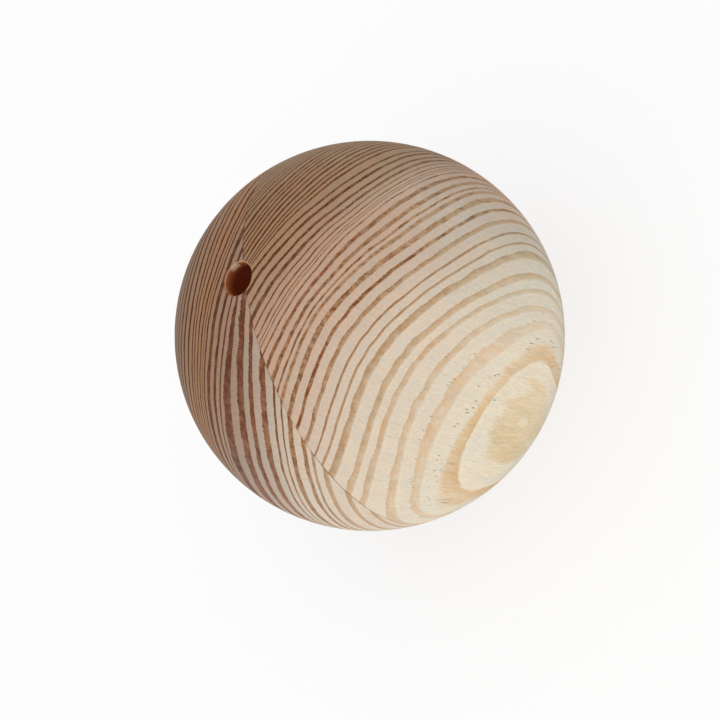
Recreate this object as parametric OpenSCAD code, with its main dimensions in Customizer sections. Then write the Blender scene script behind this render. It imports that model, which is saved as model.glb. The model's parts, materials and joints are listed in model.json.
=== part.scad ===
// Turned wooden ball with a blind bore, from two blocks of softwood glued face to face.
//
// The origin is the ball's centre. +Z runs along the bore and the grain, out of the bore's mouth.
// The glue joint is a plane along the bore, and +X points across it, into the right block.
// All sizes are in millimetres.

/* [Ball] */
// Diameter of the finished ball
ball_d = 80; // [50:1:130]
// Distance of the glue joint from the ball's centre
joint_x = 1.6; // [-10:0.2:10]

/* [Bore] */
// Diameter of the bore's wall
bore_d = 6; // [4:0.5:12]
// Depth of the bore from its rim to its flat floor
bore_depth = 25; // [10:1:35]
// Width of the broken edge round the bore's rim
rim_break = 0.3; // [0.1:0.1:1]

/* [Drill mark] */
// Diameter of the pip that the drill's centre point leaves in the floor
pip_d = 2; // [1:0.1:3]
// Depth of the pip below the floor
pip_depth = 1; // [0.5:0.1:2]

/* [Hidden] */

ball_r = ball_d / 2;
bore_r = bore_d / 2;

// Where the broken edge meets the round of the ball
rim_r = bore_r + rim_break;
rim_z = sqrt(ball_r ^ 2 - rim_r ^ 2);

// The bore's wall runs between these two heights
wall_top_z = rim_z - rim_break;
floor_z = rim_z - bore_depth;

// How far a cutting shape reaches past what it cuts
overcut = 5;

left_wood = [0.72, 0.47, 0.33];
right_wood = [0.82, 0.62, 0.46];

$fn = 96;

// Half of the bore's section, on the plane that the revolve turns about Z
module bore_section() {
    polygon([
        [0, floor_z - pip_depth],
        [pip_d / 2, floor_z],
        [bore_r, floor_z],
        [bore_r, wall_top_z],
        [rim_r + overcut, rim_z + overcut],
        [0, rim_z + overcut]
    ]);
}

// The ball as it leaves the lathe, drilled down its axis and with the rim's edge broken
module drilled_ball() {
    difference() {
        sphere(r = ball_r);
        rotate_extrude() bore_section();
    }
}

// A box past the ball all round, on the +X side of the glue joint for side = 1, on the -X side for -1
module beside_joint(side) {
    reach = ball_r + overcut;
    translate([joint_x + side * reach, 0, 0])
        cube(2 * reach, center = true);
}

// One block of the glued pair, as the lathe and the drill leave it
module turned_block(side) {
    intersection() {
        drilled_ball();
        beside_joint(side);
    }
}

// The block that holds the ball's centre, and the greater part of the bore's wall
module left_block() {
    color(left_wood) turned_block(-1);
}

// The block across the joint, which closes the rest of the bore's wall
module right_block() {
    color(right_wood) turned_block(1);
}

left_block();
right_block();
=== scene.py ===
"""Looks of the wooden ball: bare, fine-sanded softwood, glued up from two blocks and drilled.

The ball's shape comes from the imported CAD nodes. This script gives them their wood, and adds the
camera, the floor and the lights. Lengths in the wood's formulas are millimetres in the part's frame.

How the wood is made: in each block the growth rings lie across one direction of growth, which is
`grain_angle` from +X. `u` runs along it, `v` across it, and +Z along the fibres. A few guide rings
give the rings' tilt, bend and swells, and turn (u, v) into a ring position, in millimetres along the
middle line. A list of rings then says where each one ends and how wide and dark its latewood is.
"""
import json
import math

import bpy
from mathutils import Matrix, Vector


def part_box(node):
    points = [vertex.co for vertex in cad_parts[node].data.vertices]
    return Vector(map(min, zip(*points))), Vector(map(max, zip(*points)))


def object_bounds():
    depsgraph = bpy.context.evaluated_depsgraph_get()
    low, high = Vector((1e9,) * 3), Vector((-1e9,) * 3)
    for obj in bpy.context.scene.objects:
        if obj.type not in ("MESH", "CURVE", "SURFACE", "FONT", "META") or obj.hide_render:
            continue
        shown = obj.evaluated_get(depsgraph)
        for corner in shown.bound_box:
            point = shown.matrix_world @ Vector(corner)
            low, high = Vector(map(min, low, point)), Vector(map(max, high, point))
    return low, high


MM = 0.001

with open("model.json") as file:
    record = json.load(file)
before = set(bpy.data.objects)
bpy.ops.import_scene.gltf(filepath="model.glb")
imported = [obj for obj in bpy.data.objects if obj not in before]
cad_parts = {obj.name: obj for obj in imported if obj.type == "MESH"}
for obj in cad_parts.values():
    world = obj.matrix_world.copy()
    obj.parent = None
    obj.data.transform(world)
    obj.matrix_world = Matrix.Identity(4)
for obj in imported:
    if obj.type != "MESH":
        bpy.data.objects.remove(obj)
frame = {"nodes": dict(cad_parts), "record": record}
cad_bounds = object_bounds()
ball_low, ball_high = cad_bounds
ball_radius = (ball_high.x - ball_low.x) / 2
joint_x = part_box("right_block")[0].x / MM
bore_radius = frame["record"]["mounts"][0]["dims"]["r_mm"]


def srgb(red, green, blue):
    """A colour given as it looks on a screen, 0 to 255, as the linear colour that Blender mixes."""
    def linear(c):
        c /= 255
        return c / 12.92 if c <= 0.04045 else ((c + 0.055) / 1.055) ** 2.4
    return (linear(red), linear(green), linear(blue), 1)


# ---------------------------------------------------------------- camera

# A phone's distance, with the bore at the upper left and the glue joint's end at the bottom
CAMERA_DISTANCE = 4 * ball_radius
CAMERA_SIDE = Vector((0.476, -0.388, 0.789))
CAMERA_UP = Vector((0.336, 0.909, 0.245))
CAMERA_LENS = 37.8
CAMERA_SHIFT = (-0.0135, -0.0335)


def add_camera():
    """Looks at the ball's centre, rolled as the photo's view is."""
    data = bpy.data.cameras.new("camera")
    data.lens = CAMERA_LENS
    data.sensor_width = 36
    data.shift_x, data.shift_y = CAMERA_SHIFT
    data.clip_start = 0.01
    data.clip_end = 20
    camera = bpy.data.objects.new("camera", data)
    bpy.context.scene.collection.objects.link(camera)
    back = CAMERA_SIDE.normalized()
    right = CAMERA_UP.cross(back).normalized()
    up = back.cross(right)
    turn = Matrix((right, up, back)).transposed().to_4x4()
    camera.matrix_world = Matrix.Translation(back * CAMERA_DISTANCE) @ turn
    bpy.context.scene.camera = camera


# ---------------------------------------------------------------- node trees, as arithmetic

class Field:
    """A number that varies from point to point in the wood: a node's socket, with arithmetic."""

    def __init__(self, tree, socket):
        self.tree = tree
        self.socket = socket

    def math(self, operation, *others):
        node = self.tree.nodes.new("ShaderNodeMath")
        node.operation = operation
        plug(self.tree, self, node.inputs[0])
        for other, entry in zip(others, node.inputs[1:]):
            plug(self.tree, other, entry)
        return Field(self.tree, node.outputs[0])

    def __add__(self, other):
        return self.math("ADD", other)

    def __sub__(self, other):
        return self.math("SUBTRACT", other)

    def __mul__(self, other):
        return self.math("MULTIPLY", other)

    def __truediv__(self, other):
        return self.math("DIVIDE", other)

    def times_plus(self, factor, extra):
        return self.math("MULTIPLY_ADD", factor, extra)

    def floor(self):
        return self.math("FLOOR")

    def above(self, other):
        """1 where it is more than `other`, else 0."""
        return self.math("GREATER_THAN", other)

    def rest(self):
        """What is left of 1."""
        return self * -1 + 1

    def ramp(self, low, high, out_low=0.0, out_high=1.0, smooth=False):
        """out_low up to `low`, out_high from `high` on, and straight or smooth in between."""
        node = self.tree.nodes.new("ShaderNodeMapRange")
        node.interpolation_type = "SMOOTHSTEP" if smooth else "LINEAR"
        for name, value in (("Value", self), ("From Min", low), ("From Max", high),
                            ("To Min", out_low), ("To Max", out_high)):
            plug(self.tree, value, node.inputs[name])
        return Field(self.tree, node.outputs["Result"])

    def bump(self, centre, width):
        """A bell curve, 1 at the centre."""
        off = (self - centre) / width
        return (off * off * -1).math("EXPONENT")

    def tent(self, centre, reach):
        """Straight sides up to 1 at the centre, 0 from `reach` away."""
        return (self - centre).math("ABSOLUTE").ramp(0.0, reach, 1.0, 0.0)

    def through(self, points):
        """Straight lines through (input, output) points, flat past both ends."""
        low, high = points[0][0], points[-1][0]
        base = min(y for _, y in points)
        span = max(y for _, y in points) - base
        node = self.tree.nodes.new("ShaderNodeFloatCurve")
        line = node.mapping.curves[0]
        while len(line.points) < len(points):
            line.points.new(0.5, 0.5)
        for point, (x, y) in zip(line.points, points):
            point.location = ((x - low) / (high - low), (y - base) / span)
            point.handle_type = "VECTOR"
        node.mapping.update()
        plug(self.tree, (self - low) / (high - low), node.inputs["Value"])
        return Field(self.tree, node.outputs["Value"]).times_plus(span, base)

    def colours(self, stops):
        """A colour ramp through (position, (red, green, blue)) stops."""
        low, high = stops[0][0], stops[-1][0]
        node = self.tree.nodes.new("ShaderNodeValToRGB")
        elements = node.color_ramp.elements
        while len(elements) < len(stops):
            elements.new(1.0)
        for element, (position, colour) in zip(elements, stops):
            element.position = (position - low) / (high - low)
            element.color = srgb(*colour)
        plug(self.tree, (self - low) / (high - low), node.inputs["Fac"])
        return node.outputs["Color"]


def plug(tree, value, entry):
    """Sets a socket to a number or a colour, or links it to a field or another socket."""
    if isinstance(value, Field):
        value = value.socket
    if isinstance(value, bpy.types.NodeSocket):
        tree.links.new(value, entry)
    else:
        entry.default_value = value


def vector(tree, x, y, z):
    node = tree.nodes.new("ShaderNodeCombineXYZ")
    for value, entry in zip((x, y, z), node.inputs):
        plug(tree, value, entry)
    return node.outputs["Vector"]


def noise(tree, x, y, z, detail=0.0, rough=0.5):
    """Smooth noise round 0, from about -1 to 1, one wave to each unit of x, y and z."""
    node = tree.nodes.new("ShaderNodeTexNoise")
    node.inputs["Scale"].default_value = 1.0
    node.inputs["Detail"].default_value = detail
    node.inputs["Roughness"].default_value = rough
    plug(tree, vector(tree, x, y, z), node.inputs["Vector"])
    return Field(tree, node.outputs["Fac"]).ramp(0.2, 0.8, -1.0, 1.0)


def mix(tree, factor, a, b, blend="MIX"):
    node = tree.nodes.new("ShaderNodeMix")
    node.data_type = "RGBA"
    node.blend_type = blend
    plug(tree, factor, node.inputs["Factor"])
    plug(tree, a, node.inputs["A"])
    plug(tree, b, node.inputs["B"])
    return node.outputs["Result"]


# ---------------------------------------------------------------- the two blocks' growth rings

# Guide rings, in order of growth: (ring position, tilt, bend, height of each corner, height of each swell).
# Along v, a ring leaves its place by tilt * v - bend * v^2, counted from `middle`, and by the block's
# corners and swells, all in millimetres. A corner or a swell is (place along v, half width). The heights
# that a guide leaves out are 0. The guides reach past the block on both sides.
# Rings, in order of growth: (where it ends, width of its latewood, darkness of its latewood from 0 to 1).
# `fibre_lean` is how far the fibres lean towards -v for each millimetre of height.

RIGHT_GRAIN = dict(
    grain_angle=math.radians(-49.6),
    middle=4,
    fibre_lean=0.17,
    corners=((3, 10),),
    swells=((-17, 12.5), (25, 12), (14, 6)),
    guides=(
        (-25, -0.25, 0.0033, 0.0, 0.0, 1.5),
        (-9, -0.22, 0.0033, 0.0, 0.0, 1.5),
        (-4, -0.20, 0.0033, 0.0, 0.0, 1.4),
        (0, -0.10, 0.0033, 0.0, 0.0, 1.15),
        (2, 0.0, 0.0033, -0.2, 0.0, 1.5),
        (6, 0.0, 0.0033, -0.25, 0.6, 1.7),
        (12, 0.0, 0.0033, 0.0, 1.0, 0.65),
        (17, 0.0, 0.0033, -0.25, 2.3, 2.2),
        (20, 0.0, 0.0033, -0.2, 2.0, 2.0),
        (24, 0.0, 0.0033, -0.25, 1.7, 1.75),
        (30, 0.0, 0.0033, -0.25, 1.6, 1.7, -0.1),
        (34, -0.015, 0.0033, -0.2, 1.4, 1.1, -0.3),
        (35.6, -0.055, 0.0055, 0.0, 0.9, 1.25, 0.5),
        (37.05, -0.09, 0.0075, 0.2, 0.4, 1.4, 0.35),
        (38.05, -0.055, 0.0028),
        (39.15, -0.075, 0.0045, -0.25),
        (42, -0.09, 0.0045),
    ),
    rings=(
        (-28, 0.5, 0.5), (-26.2, 0.4, 0.5), (-24.8, 0.5, 0.5), (-23.1, 0.4, 0.5), (-21.7, 0.5, 0.6),
        (-20.2, 0.4, 0.5), (-18.8, 0.5, 0.5), (-17.3, 0.4, 0.4), (-16, 0.4, 0.5), (-14.6, 0.45, 0.5),
        (-13.4, 0.4, 0.5), (-12.2, 0.4, 0.6), (-11, 0.4, 0.6), (-9.5, 0.45, 0.7), (-8.7, 0.35, 0.6),
        (-7.7, 0.45, 0.8), (-6.5, 0.55, 0.9), (-4.9, 0.65, 0.95), (-3.9, 0.4, 0.7), (-3.1, 0.4, 0.8),
        (-2.25, 0.4, 0.8), (-1.35, 0.4, 0.8), (-0.4, 0.45, 0.9), (0.35, 0.25, 0.8), (0.85, 0.25, 0.7),
        (1.4, 0.25, 0.9), (2.75, 0.45, 0.75), (4.3, 0.6, 0.85), (5.95, 0.5, 0.8), (7.55, 0.7, 0.8),
        (8.6, 0.25, 0.8), (9.75, 0.3, 0.8), (10.5, 0.2, 0.7), (11, 0.2, 0.3), (11.95, 0.3, 0.75),
        (13.3, 0.55, 0.7), (14.75, 0.55, 0.55), (15.7, 0.3, 0.8), (16.6, 0.5, 0.35), (18.4, 0.8, 0.55),
        (20.2, 0.55, 0.9), (22.2, 0.7, 0.4), (23.9, 0.35, 0.8), (25.3, 0.35, 0.75), (27.1, 0.95, 0.6),
        (29.4, 0.8, 0.6), (30.9, 0.7, 0.4), (33.2, 0.75, 0.4), (35.6, 1.1, 0.3), (38.05, 0.85, 0.5),
        (41.3, 2.15, 0.35), (43, 0.6, 0.4),
    ),
)

LEFT_GRAIN = dict(
    grain_angle=math.radians(-25.6),
    middle=-12,
    fibre_lean=0.0,
    corners=(),
    swells=((-5, 8),),
    guides=(
        (-45, 0.04, 0.0085),
        (-25, 0.10, 0.0085),
        (-12, 0.12, 0.0078, -0.1),
        (-10, 0.14, 0.0070, -0.4),
        (-7, 0.19, 0.0058, -0.65),
        (-3, 0.18, 0.0045, -0.3),
        (0, 0.17, 0.0059, -0.2),
        (2, 0.04, 0.0086, -0.1),
        (4, 0.0, 0.0086),
        (6, -0.03, 0.0086),
        (30, -0.02, 0.0086),
    ),
    rings=(
        (-44, 0.6, 0.5), (-42.2, 0.5, 0.5), (-40.2, 0.6, 0.5), (-38.3, 0.7, 0.6), (-36.4, 0.5, 0.5),
        (-34.2, 0.6, 0.6), (-32.3, 0.5, 0.5), (-30.1, 0.6, 0.6), (-28.4, 0.4, 0.5), (-26.2, 0.6, 0.6),
        (-24.3, 0.6, 0.6), (-22.2, 0.6, 0.6), (-20.1, 0.5, 0.5), (-18, 0.65, 0.7), (-16.1, 0.75, 0.85),
        (-14.2, 0.8, 0.95), (-12.1, 0.7, 0.9), (-10.45, 0.5, 0.85), (-9.5, 0.35, 0.7), (-8.25, 0.4, 0.8),
        (-7.1, 0.4, 0.95), (-6.4, 0.2, 0.5), (-5.6, 0.35, 0.8), (-3.9, 0.9, 0.6), (-2.15, 0.75, 0.8),
        (-0.85, 0.35, 0.85), (1.25, 1.25, 0.75), (3.8, 1.35, 0.7), (5.6, 0.8, 0.85), (8.15, 1.2, 0.65),
        (9.85, 0.4, 0.95), (11, 0.3, 0.85), (12.6, 0.9, 0.7), (14.65, 0.75, 0.8), (15.65, 0.5, 0.6),
        (17.5, 0.85, 0.5), (19.9, 0.8, 0.5), (22, 0.6, 0.4), (24, 0.6, 0.4),
        (26.5, 0.6, 0.4), (29, 0.6, 0.4),
    ),
)

# Two guide rings never come closer than this where they fan in
LEAST_RING_GAP = 0.1

# Colours of the wood, as (ring position, colour) stops in order of growth: the early wood, and the
# latewood at its palest and at its darkest. The other pairs say where something begins and where it is
# complete: `sapwood` along the rings' positions, and along v `fade`, the side where the latewood fades,
# and `far`, the far side, with its tints for heartwood and sapwood. The heartwood's tints make it greyer,
# and in the left block lighter; the right block's sapwood tint darkens it, which is painted shade. The
# heartwood's tint comes in over the heights in `far_height`.
RIGHT_COLOURS = dict(
    early=((-12, (156, 124, 96)), (-4, (167, 129, 98)), (2, (174, 136, 106)), (6, (182, 146, 119)),
           (12, (203, 168, 143)), (20, (216, 191, 169)), (28, (230, 213, 191)), (40, (237, 225, 201))),
    pale=((-12, (130, 100, 72)), (-4, (128, 91, 58)), (3, (130, 92, 58)), (8, (152, 116, 88)),
          (14, (182, 143, 109)), (20, (199, 163, 125)), (24, (206, 176, 142)), (28, (219, 195, 163)),
          (32, (226, 206, 177)), (36, (235, 215, 187)), (40, (233, 213, 177))),
    dark=((-12, (100, 66, 34)), (-4, (94, 54, 22)), (3, (94, 54, 24)), (8, (112, 72, 46)),
          (14, (132, 87, 55)), (20, (134, 85, 52)), (24, (168, 126, 90)), (28, (194, 161, 124)),
          (32, (208, 179, 144)), (36, (224, 192, 152)), (38, (222, 183, 134)),
          (40, (212, 183, 136))),
    sapwood=(15, 25),
    fade=(8, 28),
    far=(12, 30),
    # The second tint, for the sapwood, is painted shade that darkens the far side
    far_tints_and_shade=((0.95, 1.07, 1.15, 1), (0.82, 0.88, 0.91, 1)),
    far_height=(2, 15),
)
LEFT_COLOURS = dict(
    early=((-20, (144, 117, 94)), (-12, (165, 127, 97)), (-8, (167, 126, 93)), (-4, (167, 132, 108)),
           (1, (169, 141, 122)), (7, (190, 168, 150)), (12, (212, 192, 169)), (18, (225, 208, 187))),
    pale=((-20, (108, 76, 40)), (-12, (100, 57, 22)), (-8, (108, 65, 30)), (-4, (124, 84, 58)),
          (1, (136, 94, 72)), (7, (156, 114, 86)), (13, (174, 136, 102)), (18, (204, 174, 142))),
    dark=((-20, (86, 51, 14)), (-12, (78, 36, 5)), (-8, (84, 41, 9)), (-4, (92, 54, 28)),
          (1, (100, 60, 40)), (7, (118, 74, 50)), (13, (128, 82, 50)), (18, (178, 144, 110))),
    sapwood=(11, 19),
    fade=(-14, -34),
    far=(-16, -40),
    far_tints_and_shade=((1.12, 1.22, 1.3, 1), (1, 1, 1, 1)),
    far_height=(-14, 0),
)

# Ring positions: the wood near the bark, and the patch inside the last ring
BARK_WOOD = (34, 37.5)
LAST_PATCH = (38, 39)
# The pale spot in that patch: its place along v, and the radii where it is gone and where it is full
SPOT_V = 3.95
SPOT_FADE = (1.0, 0.6)

# Down the ball the rings lean inwards, from the first height to the second, by this much in the end
LEAN_HEIGHTS = (-4, -34)
LEAN = 6.5
# In the hidden half they also drift along the fibres
HIDDEN_HEIGHTS = (-14, -34)
DRIFT = 3.0
# Painted shade: the underside is darker from the first height to the second, and so is the far side along v
UNDERSIDE_PAINTED_SHADE = dict(low=1, high=-16, out_low=1.0, out_high=0.75, smooth=True)
FAR_EDGE_PAINTED_SHADE = dict(low=28, high=38, out_low=1.0, out_high=0.76)

# What the latewood's colour is multiplied by where it is redder, and at the orange flecks on its edge
REDDER = (1.10, 0.87, 0.75, 1)
ORANGE = (1.14, 0.96, 0.76, 1)
CANAL = srgb(90, 64, 44)

# The line of glue: how far from the joint it is full, and where it is gone
GLUE = srgb(92, 58, 38)
GLUE_EDGE = (0.05, 0.13)
# The bore's red-brown wall, by depth below the ball's top, with painted light and shade: pale just under the
# rim, darkest a few millimetres down, and painted lighter again deeper in
BORE_WALL_WITH_PAINTED_LIGHT = ((0.6, (178, 102, 54)), (1.6, (134, 62, 24)), (2.7, (122, 50, 22)), (4.5, (146, 62, 34)),
          (7, (186, 86, 52)), (10, (220, 108, 66)))
# The bore's rim: its middle line outside the wall and its half width, and the depth that it stays above
RIM_LINE = (bore_radius + 0.14, 0.09)
RIM_DEPTH = 2
# The rim line's colours: pale, from crushed fibres and a painted highlight, and darker orange-brown on the
# side towards -x and -y
WORN_RIM_AND_HIGHLIGHT = srgb(226, 176, 144)
RIM_DARKER_SIDE = srgb(152, 98, 62)
# A pool of light painted on the wall just under the rim: the depths where it is full and where it is gone
PAINTED_LIGHT_PATCH = srgb(240, 210, 180)
PAINTED_LIGHT_DEPTHS = (1.0, 1.6)

# How far full relief stands out, in Blender's metres
RELIEF_DEPTH = 0.03 * MM


def ring_position(u, v, grain):
    """How far along the growth the wood at (u, v) was laid down, by the guide rings."""
    across = v - grain["middle"]
    squared = across * across
    swells = [v.tent(*corner) for corner in grain["corners"]] + [v.bump(*swell) for swell in grain["swells"]]
    places = []
    for position, tilt, bend, *heights in grain["guides"]:
        place = across.times_plus(tilt, position)
        place = squared.times_plus(-bend, place)
        for swell, height in zip(swells, heights):
            if height:
                place = swell.times_plus(height, place)
        if places:
            place = place.math("MAXIMUM", places[-1] + LEAST_RING_GAP)
        places.append(place)
    positions = [guide[0] for guide in grain["guides"]]
    s = u.ramp(places[0], places[1], positions[0], positions[1])
    for i in range(1, len(places) - 1):
        s = s + u.ramp(places[i], places[i + 1], 0.0, positions[i + 1] - positions[i])
    return s


class Wood:
    """One block's softwood. Each method works out some fields, which the methods after it build on.

    A place divided by a length, as in v / 7, gives the noise waves of that length in millimetres. The
    ring's number times an odd factor gives each ring a noise of its own, and the seed each block.
    """

    def __init__(self, tree, grain, colours, seed):
        self.tree = tree
        self.grain = grain
        self.colours = colours
        self.seed = seed
        self.find_place()
        self.find_ring_position()
        self.find_ring()
        self.grow_rays_and_fibres()
        self.grow_latewood()
        self.mark_latewood()
        self.grow_canals()
        self.find_bore_and_glue()

    def noise(self, x, y, z, **look):
        return noise(self.tree, x, y, z, **look)

    def mix(self, factor, a, b, blend="MIX"):
        return mix(self.tree, factor, a, b, blend)

    def find_place(self):
        """The point in the part's frame in millimetres, and along the growth and across it."""
        coordinates = self.tree.nodes.new("ShaderNodeTexCoord")
        split = self.tree.nodes.new("ShaderNodeSeparateXYZ")
        self.tree.links.new(coordinates.outputs["Object"], split.inputs["Vector"])
        self.x, self.y, self.z = (Field(self.tree, socket) / MM for socket in split.outputs)
        cos, sin = math.cos(self.grain["grain_angle"]), math.sin(self.grain["grain_angle"])
        self.u = self.x * cos + self.y * sin
        self.v = self.y * cos - self.x * sin
        # The place along v where the fibre through this point meets z = 0
        self.lane = self.z.times_plus(self.grain["fibre_lean"], self.v)

    def find_ring_position(self):
        """The ring position s. The rings waver, lean inwards down the ball and drift in its hidden half."""
        x, y, z, u, v, seed = self.x, self.y, self.z, self.u, self.v, self.seed
        lean = z.ramp(*LEAN_HEIGHTS, 0.0, LEAN, smooth=True)
        hidden = z.ramp(*HIDDEN_HEIGHTS, smooth=True)
        self.waver = self.noise(v / 7 + seed, u / 16, z / 40)
        self.ripple = self.noise(v / 1.8 + seed, u / 9, z / 16)
        kinks = self.noise(v / 3.3 + seed, u / 14, z / 25)
        drift = self.noise(x / 30 + seed, y / 30, z / 45)
        sap_side = u.ramp(*self.colours["sapwood"], smooth=True)
        # The last rings, near the bark, are calmer
        calm = u.ramp(33, 37, 1.0, 0.2)
        # The numbers by which each noise is multiplied are how far it moves the rings, in millimetres
        moved = (self.waver * calm).times_plus(0.08, u + lean)
        moved = (kinks * calm).times_plus(0.05, moved)
        moved = self.ripple * sap_side.times_plus(0.01, 0.03) + moved
        moved = (drift * hidden).times_plus(DRIFT, moved)
        self.s = ring_position(moved, v, self.grain)
        # How far the wood here is sapwood, and how far it is the wood near the bark, from 0 to 1
        self.sap = self.s.ramp(*self.colours["sapwood"], smooth=True)
        self.bark_wood = self.s.ramp(*BARK_WOOD, smooth=True)

    def find_ring(self):
        """Which ring this is, what the list says of it, and how far inside it the point lies."""
        rings = self.grain["rings"]
        count = self.s.through([(ring[0], number) for number, ring in enumerate(rings)])
        self.number = count.floor()
        phase = count - self.number
        middle = self.number + 0.5
        width = middle.through([(i + 0.5, b[0] - a[0]) for i, (a, b) in enumerate(zip(rings, rings[1:]))])
        self.late_width = middle.through([(i + 0.5, ring[1]) for i, ring in enumerate(rings[1:])])
        self.darkness = middle.through([(i + 0.5, ring[2]) for i, ring in enumerate(rings[1:])])
        # Millimetres to where the ring ends, and from where it starts
        self.inward = phase.rest() * width
        self.outward = phase * width

    def grow_rays_and_fibres(self):
        """Rays: thin lines along the growth, which run some way down the fibres. Fibres: fine grain on
        the ends, fine streaks along the sides."""
        x, y, z, seed = self.x, self.y, self.z, self.seed
        self.rays = self.noise(self.lane / 0.26, self.u / 5 + seed, z / 5, detail=1)
        self.pale_rays = self.rays.ramp(0.5, 0.85, smooth=True)
        self.dark_rays = self.rays.ramp(-0.5, -0.9, smooth=True)
        self.fibres = self.noise(x / 0.22, y / 0.22, z / 4 + seed, detail=2, rough=0.6)
        self.speckle = self.noise(x / 0.5 + seed, y / 0.5, z / 6, detail=2, rough=0.7)
        self.blotch = self.noise(x / 2.2 + seed, y / 2.2, z / 9, detail=1)
        self.streaks = self.noise(self.lane / 0.22, self.number * 7.1, z / 6, detail=2, rough=0.6)

    def grow_latewood(self):
        """How much latewood there is here: a soft outer edge, and a crisp but ragged inner one. In the
        wood near the bark it is the other way round, and the inner edge fades out along the fibres."""
        number, z, sap, bark_wood = self.number, self.z, self.sap, self.bark_wood
        swelling = self.noise(self.v / 3 + self.seed, number * 2.3, z / 20)
        wide = self.late_width * (swelling * 0.15 + 1)
        ragged = self.noise(self.lane / 0.28, number * 3.7, z / 6, detail=2, rough=0.7)
        fray = wide * (sap * -0.08 + 0.18) + bark_wood * 0.14
        edge = ragged * fray + wide
        torn = self.noise(self.lane / 0.3, number * 3.1, z / 5, detail=2, rough=0.7)
        outer = self.inward + torn * wide * (sap * -0.05 + 0.11)
        outer = outer.ramp(0.0, sap * (bark_wood * -0.7 + 1) * wide * 0.22 + 0.05, smooth=True)
        inner = self.inward.ramp(edge - bark_wood.times_plus(0.12, 0.03),
                                 edge + bark_wood.times_plus(0.1, 0.06), 1.0, 0.0, smooth=True)
        self.late = outer * inner
        self.wide, self.edge, self.torn = wide, edge, torn

    def mark_latewood(self):
        """The darker line and the orange flecks where the latewood starts, and how its colour changes."""
        sap, bark_wood = self.sap, self.bark_wood
        from_edge = self.inward - self.edge
        line = from_edge.bump(-0.04, 0.07) * sap * bark_wood.rest()
        self.start_line = line * self.torn.ramp(-0.4, 0.4, 0.4, 1.6)
        flecks = self.noise(self.lane / 0.45, self.number * 6.1, self.z / 5, detail=1).ramp(0.15, 0.6)
        self.flecks = flecks * from_edge.bump(0.0, 0.12) * self.s.ramp(2, 12) * (sap * -0.75 + 1)
        self.fading = (self.inward / self.wide).ramp(0.0, 1.0, -0.25, 0.25) * sap * (bark_wood * -2 + 1)
        self.slow = self.noise(self.v / 4, self.number * 5.1, self.z / 30, detail=1)

    def grow_canals(self):
        """Resin canals in the pale wood: tubes along the fibres, in a row where the latewood starts."""
        canals = self.tree.nodes.new("ShaderNodeTexVoronoi")
        canals.voronoi_dimensions = "1D"
        canals.inputs["Scale"].default_value = 1.0
        plug(self.tree, self.lane / 0.55 + self.number * 5.3, canals.inputs["W"])
        values = self.tree.nodes.new("ShaderNodeSeparateColor")
        self.tree.links.new(canals.outputs["Color"], values.inputs["Color"])
        chance, scatter, _ = (Field(self.tree, socket) for socket in values.outputs)
        row = self.inward - self.wide - scatter * self.bark_wood.times_plus(0.8, 0.3)
        canal = Field(self.tree, canals.outputs["Distance"]).ramp(0.08, 0.2, 1.0, 0.0) * row.bump(-0.05, 0.11)
        # A canal shows where its chance is above this, so most lie in the ring round the last patch
        scarce = self.s.through(((34, 0.75), (36, 0.3), (37.6, 0.3), (38.2, 0.8)))
        canal = canal * chance.above(self.slow * -0.4 + scarce) * self.sap
        self.canal = canal * self.noise(chance * 40, self.number, self.z / 4).ramp(-0.1, 0.1)

    def find_bore_and_glue(self):
        """The line of glue, and the bore's wall and rim."""
        x, y, z = self.x, self.y, self.z
        uneven = (self.waver * 0.35 + self.ripple * 0.25 + 0.5).ramp(0.0, 1.0)
        self.glue = (x - joint_x).math("ABSOLUTE").ramp(*GLUE_EDGE, 1.0, 0.0) * uneven
        self.radius = (x * x + y * y).math("SQRT")
        self.depth = z * -1 + ball_radius / MM
        self.in_bore = self.radius.ramp(bore_radius + 0.02, bore_radius + 0.05, 1.0, 0.0) * z.above(0.0)
        self.on_rim = self.radius.bump(*RIM_LINE) * (self.depth * -1).above(-RIM_DEPTH)

    def late_colour(self):
        """The latewood's colour, with darker and redder spots along each band."""
        number, v, z, sap, bark_wood = self.number, self.v, self.z, self.sap, self.bark_wood
        spots = self.noise(v / 1.1, self.inward.times_plus(1.2, number * 5.7), z / 7, detail=2)
        reds = self.noise(v / 1.8, self.inward.times_plus(1.0, number * 9.1 + self.seed), z / 9, detail=2)
        faded = v.ramp(*self.colours["fade"]) * bark_wood.rest()
        dark = spots * (sap * -0.35 - bark_wood * 0.2 + 0.8) + self.darkness + self.slow * 0.2
        dark = dark + self.rays * 0.35 + self.fading - self.pale_rays * 0.2
        dark = faded.times_plus(-0.45, dark)
        bark_dark = self.streaks * 0.45 + 0.15 - v.bump(8, 4.5) * 0.35
        dark = (bark_dark * bark_wood + dark).ramp(0.0, 1.0)
        palest, darkest = self.s.colours(self.colours["pale"]), self.s.colours(self.colours["dark"])
        redness = reds.ramp(-0.1, 0.5) * (sap * -0.5 + 1) * (bark_wood * -0.8 + 1) * (faded * -0.8 + 1)
        return self.mix(redness, self.mix(dark, palest, darkest), REDDER, "MULTIPLY")

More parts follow.
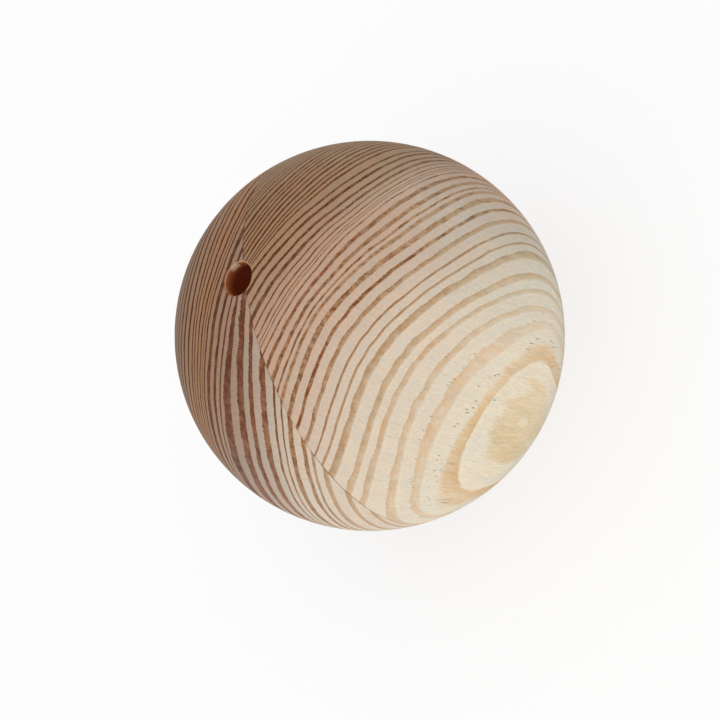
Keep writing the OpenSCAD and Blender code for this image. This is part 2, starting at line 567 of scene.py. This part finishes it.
    def tint(self):
        """What fibres, rays and slow changes from ring to ring multiply the colour by."""
        sap, late, blotch = self.sap, self.late, self.blotch
        tone = self.fibres * (sap * 0.03 + 0.08) + self.speckle * 0.045 + blotch * 0.02
        tone = tone - self.dark_rays * (late * 0.12 + 0.04) + self.rays * (sap * -0.015 + 0.06) + 1
        tone = tone + self.outward.bump(0.1, 0.12) * sap * 0.03
        tone = tone - self.streaks.ramp(0.45, 0.8) * late * self.bark_wood * 0.16
        warmth = self.noise(self.v / 9, self.number * 4.3 + self.seed, self.z / 30, detail=1)
        warmth = warmth * (sap * -0.7 + 1)
        return vector(self.tree, warmth.times_plus(0.045, tone + blotch * 0.02),
                      warmth.times_plus(-0.035, tone), warmth.times_plus(-0.08, tone - blotch * 0.03))

    def wood_colour(self):
        """Early wood and latewood, with all that marks and tints them but the glue and the bore, painted
        shade on the underside and far side included.
        """
        v, z, sap = self.v, self.z, self.sap
        early = self.s.colours(self.colours["early"])
        colour = self.mix(self.late, early, self.late_colour())
        colour = self.mix(self.start_line * 0.35, colour, self.s.colours(self.colours["dark"]))
        colour = self.mix(self.flecks * 0.9, colour, ORANGE, "MULTIPLY")
        colour = self.mix(1.0, colour, self.tint(), "MULTIPLY")

        # The spot is an oval, longer along the fibres
        from_spot = ((v - SPOT_V) * (v - SPOT_V) + z * z * 0.18).math("SQRT") + self.streaks * 0.15
        spot = from_spot.ramp(*SPOT_FADE, smooth=True) * self.s.ramp(*LAST_PATCH)
        colour = self.mix(spot * 0.7, colour, early)

        # Painted shade: darker on the underside and towards the far side along v
        painted_shade = z.ramp(**UNDERSIDE_PAINTED_SHADE) * v.ramp(**FAR_EDGE_PAINTED_SHADE)
        colour = self.mix(1.0, colour, vector(self.tree, painted_shade, painted_shade, painted_shade), "MULTIPLY")
        # The far side's tint: greyer heartwood, and in the right block darker sapwood, which is painted shade
        far = v.ramp(*self.colours["far"]) * z.ramp(*self.colours["far_height"]).math("MAXIMUM", sap)
        far_tinted_and_shaded = self.mix(1.0, colour, self.mix(sap, *self.colours["far_tints_and_shade"]), "MULTIPLY")
        colour = self.mix(far, colour, far_tinted_and_shaded)
        return self.mix(self.canal * self.bark_wood.times_plus(0.25, 0.6), colour, CANAL)

    def colour(self):
        """The wood, with the line of glue, and the bore's wall with painted light and shade, its rim line of
        worn fibres and painted highlight, and a painted pool of light on the wall under the rim.
        """
        x, y, radius, depth = self.x, self.y, self.radius, self.depth
        colour = self.mix(self.glue, self.wood_colour(), GLUE)
        # The bore's wall by depth, red-brown with painted light and shade
        colour = self.mix(self.in_bore * 0.97, colour, depth.colours(BORE_WALL_WITH_PAINTED_LIGHT))
        # The rim line: worn fibres with a painted highlight, darker orange-brown towards -x and -y
        darker_rim_side = ((x * -0.8 - y * 0.6) / radius).ramp(0.6, 0.95)
        colour = self.mix(self.on_rim * 0.7, colour, self.mix(darker_rim_side, WORN_RIM_AND_HIGHLIGHT, RIM_DARKER_SIDE))
        # A painted pool of light on the wall just under the rim, on the +y side
        painted_light = ((y - x * 0.3) / radius).ramp(0.97, 1.035) * depth.ramp(*PAINTED_LIGHT_DEPTHS, 1.0, 0.0) * self.in_bore
        return self.mix(painted_light * 0.85, colour, PAINTED_LIGHT_PATCH)

    def relief(self):
        """Latewood stands a little proud, fibres and rays are rough, and canals and glue are sunk."""
        height = self.late * 0.35 + self.fibres * 0.3 + self.rays * 0.15 - self.canal * 1.5 - self.glue * 0.8
        bump = self.tree.nodes.new("ShaderNodeBump")
        bump.inputs["Strength"].default_value = 1.0
        bump.inputs["Distance"].default_value = RELIEF_DEPTH
        plug(self.tree, height, bump.inputs["Height"])
        return bump.outputs["Normal"]


def wood_material(name, grain, colours, seed):
    """Softwood with growth rings, sanded smooth, with the glue joint's line and the bore's wall with painted
    light and shade.
    """
    material = bpy.data.materials.new(name)
    material.use_nodes = True
    tree = material.node_tree
    tree.nodes.clear()
    wood = Wood(tree, grain, colours, seed)
    shader = tree.nodes.new("ShaderNodeBsdfPrincipled")
    shader.inputs["Specular IOR Level"].default_value = 0.05
    plug(tree, wood.fibres * 0.04 - wood.late * 0.08 + 0.6, shader.inputs["Roughness"])
    tree.links.new(wood.colour(), shader.inputs["Base Color"])
    tree.links.new(wood.relief(), shader.inputs["Normal"])
    output = tree.nodes.new("ShaderNodeOutputMaterial")
    tree.links.new(shader.outputs["BSDF"], output.inputs["Surface"])
    return material


def dress(node, material):
    """Puts the material on every face of a CAD node."""
    data = frame["nodes"][node].data
    if not data.materials:
        data.materials.append(material)
    for index in range(len(data.materials)):
        data.materials[index] = material


# ---------------------------------------------------------------- floor and lights

# Sizes and distances here are in metres
FLOOR_RADIUS = 3.0
FLOOR_GREY = 0.42
# The floor's own light keeps it near white right up to the ball, as in the photo
FLOOR_GLOW = 0.63
SKY_STRENGTH = 0.78
LIGHT_DISTANCE = 0.6
LIGHT_SIZE = 0.3


def add_floor():
    bpy.ops.mesh.primitive_circle_add(vertices=96, radius=FLOOR_RADIUS, fill_type="NGON",
                                      location=(0, 0, ball_low.z))
    floor = bpy.context.object
    floor.name = "floor"
    material = bpy.data.materials.new("pale_floor")
    material.use_nodes = True
    shader = material.node_tree.nodes["Principled BSDF"]
    shader.inputs["Base Color"].default_value = (FLOOR_GREY, FLOOR_GREY, FLOOR_GREY, 1)
    shader.inputs["Roughness"].default_value = 0.9
    shader.inputs["Emission Color"].default_value = (1, 1, 1, 1)
    shader.inputs["Emission Strength"].default_value = FLOOR_GLOW
    floor.data.materials.append(material)


def add_area_light(name, direction, power):
    """A round soft light that shines on the ball from `direction`."""
    data = bpy.data.lights.new(name, "AREA")
    data.shape = "DISK"
    data.size = LIGHT_SIZE
    data.energy = power
    light = bpy.data.objects.new(name, data)
    light.location = direction.normalized() * LIGHT_DISTANCE
    light.rotation_euler = (-direction).to_track_quat("-Z", "Y").to_euler()
    bpy.context.scene.collection.objects.link(light)


def add_lights():
    world = bpy.data.worlds.new("studio")
    world.use_nodes = True
    background = world.node_tree.nodes["Background"]
    background.inputs["Color"].default_value = (1, 1, 1, 1)
    background.inputs["Strength"].default_value = SKY_STRENGTH
    bpy.context.scene.world = world
    add_area_light("front", CAMERA_SIDE, power=0.2)
    add_area_light("low", Vector((-0.4, -0.85, 0.3)), power=0.15)


add_camera()
add_floor()
add_lights()
dress("left_block", wood_material("heartwood", LEFT_GRAIN, LEFT_COLOURS, seed=11.0))
dress("right_block", wood_material("sapwood", RIGHT_GRAIN, RIGHT_COLOURS, seed=0.0))
bpy.context.scene.view_settings.view_transform = "Standard"
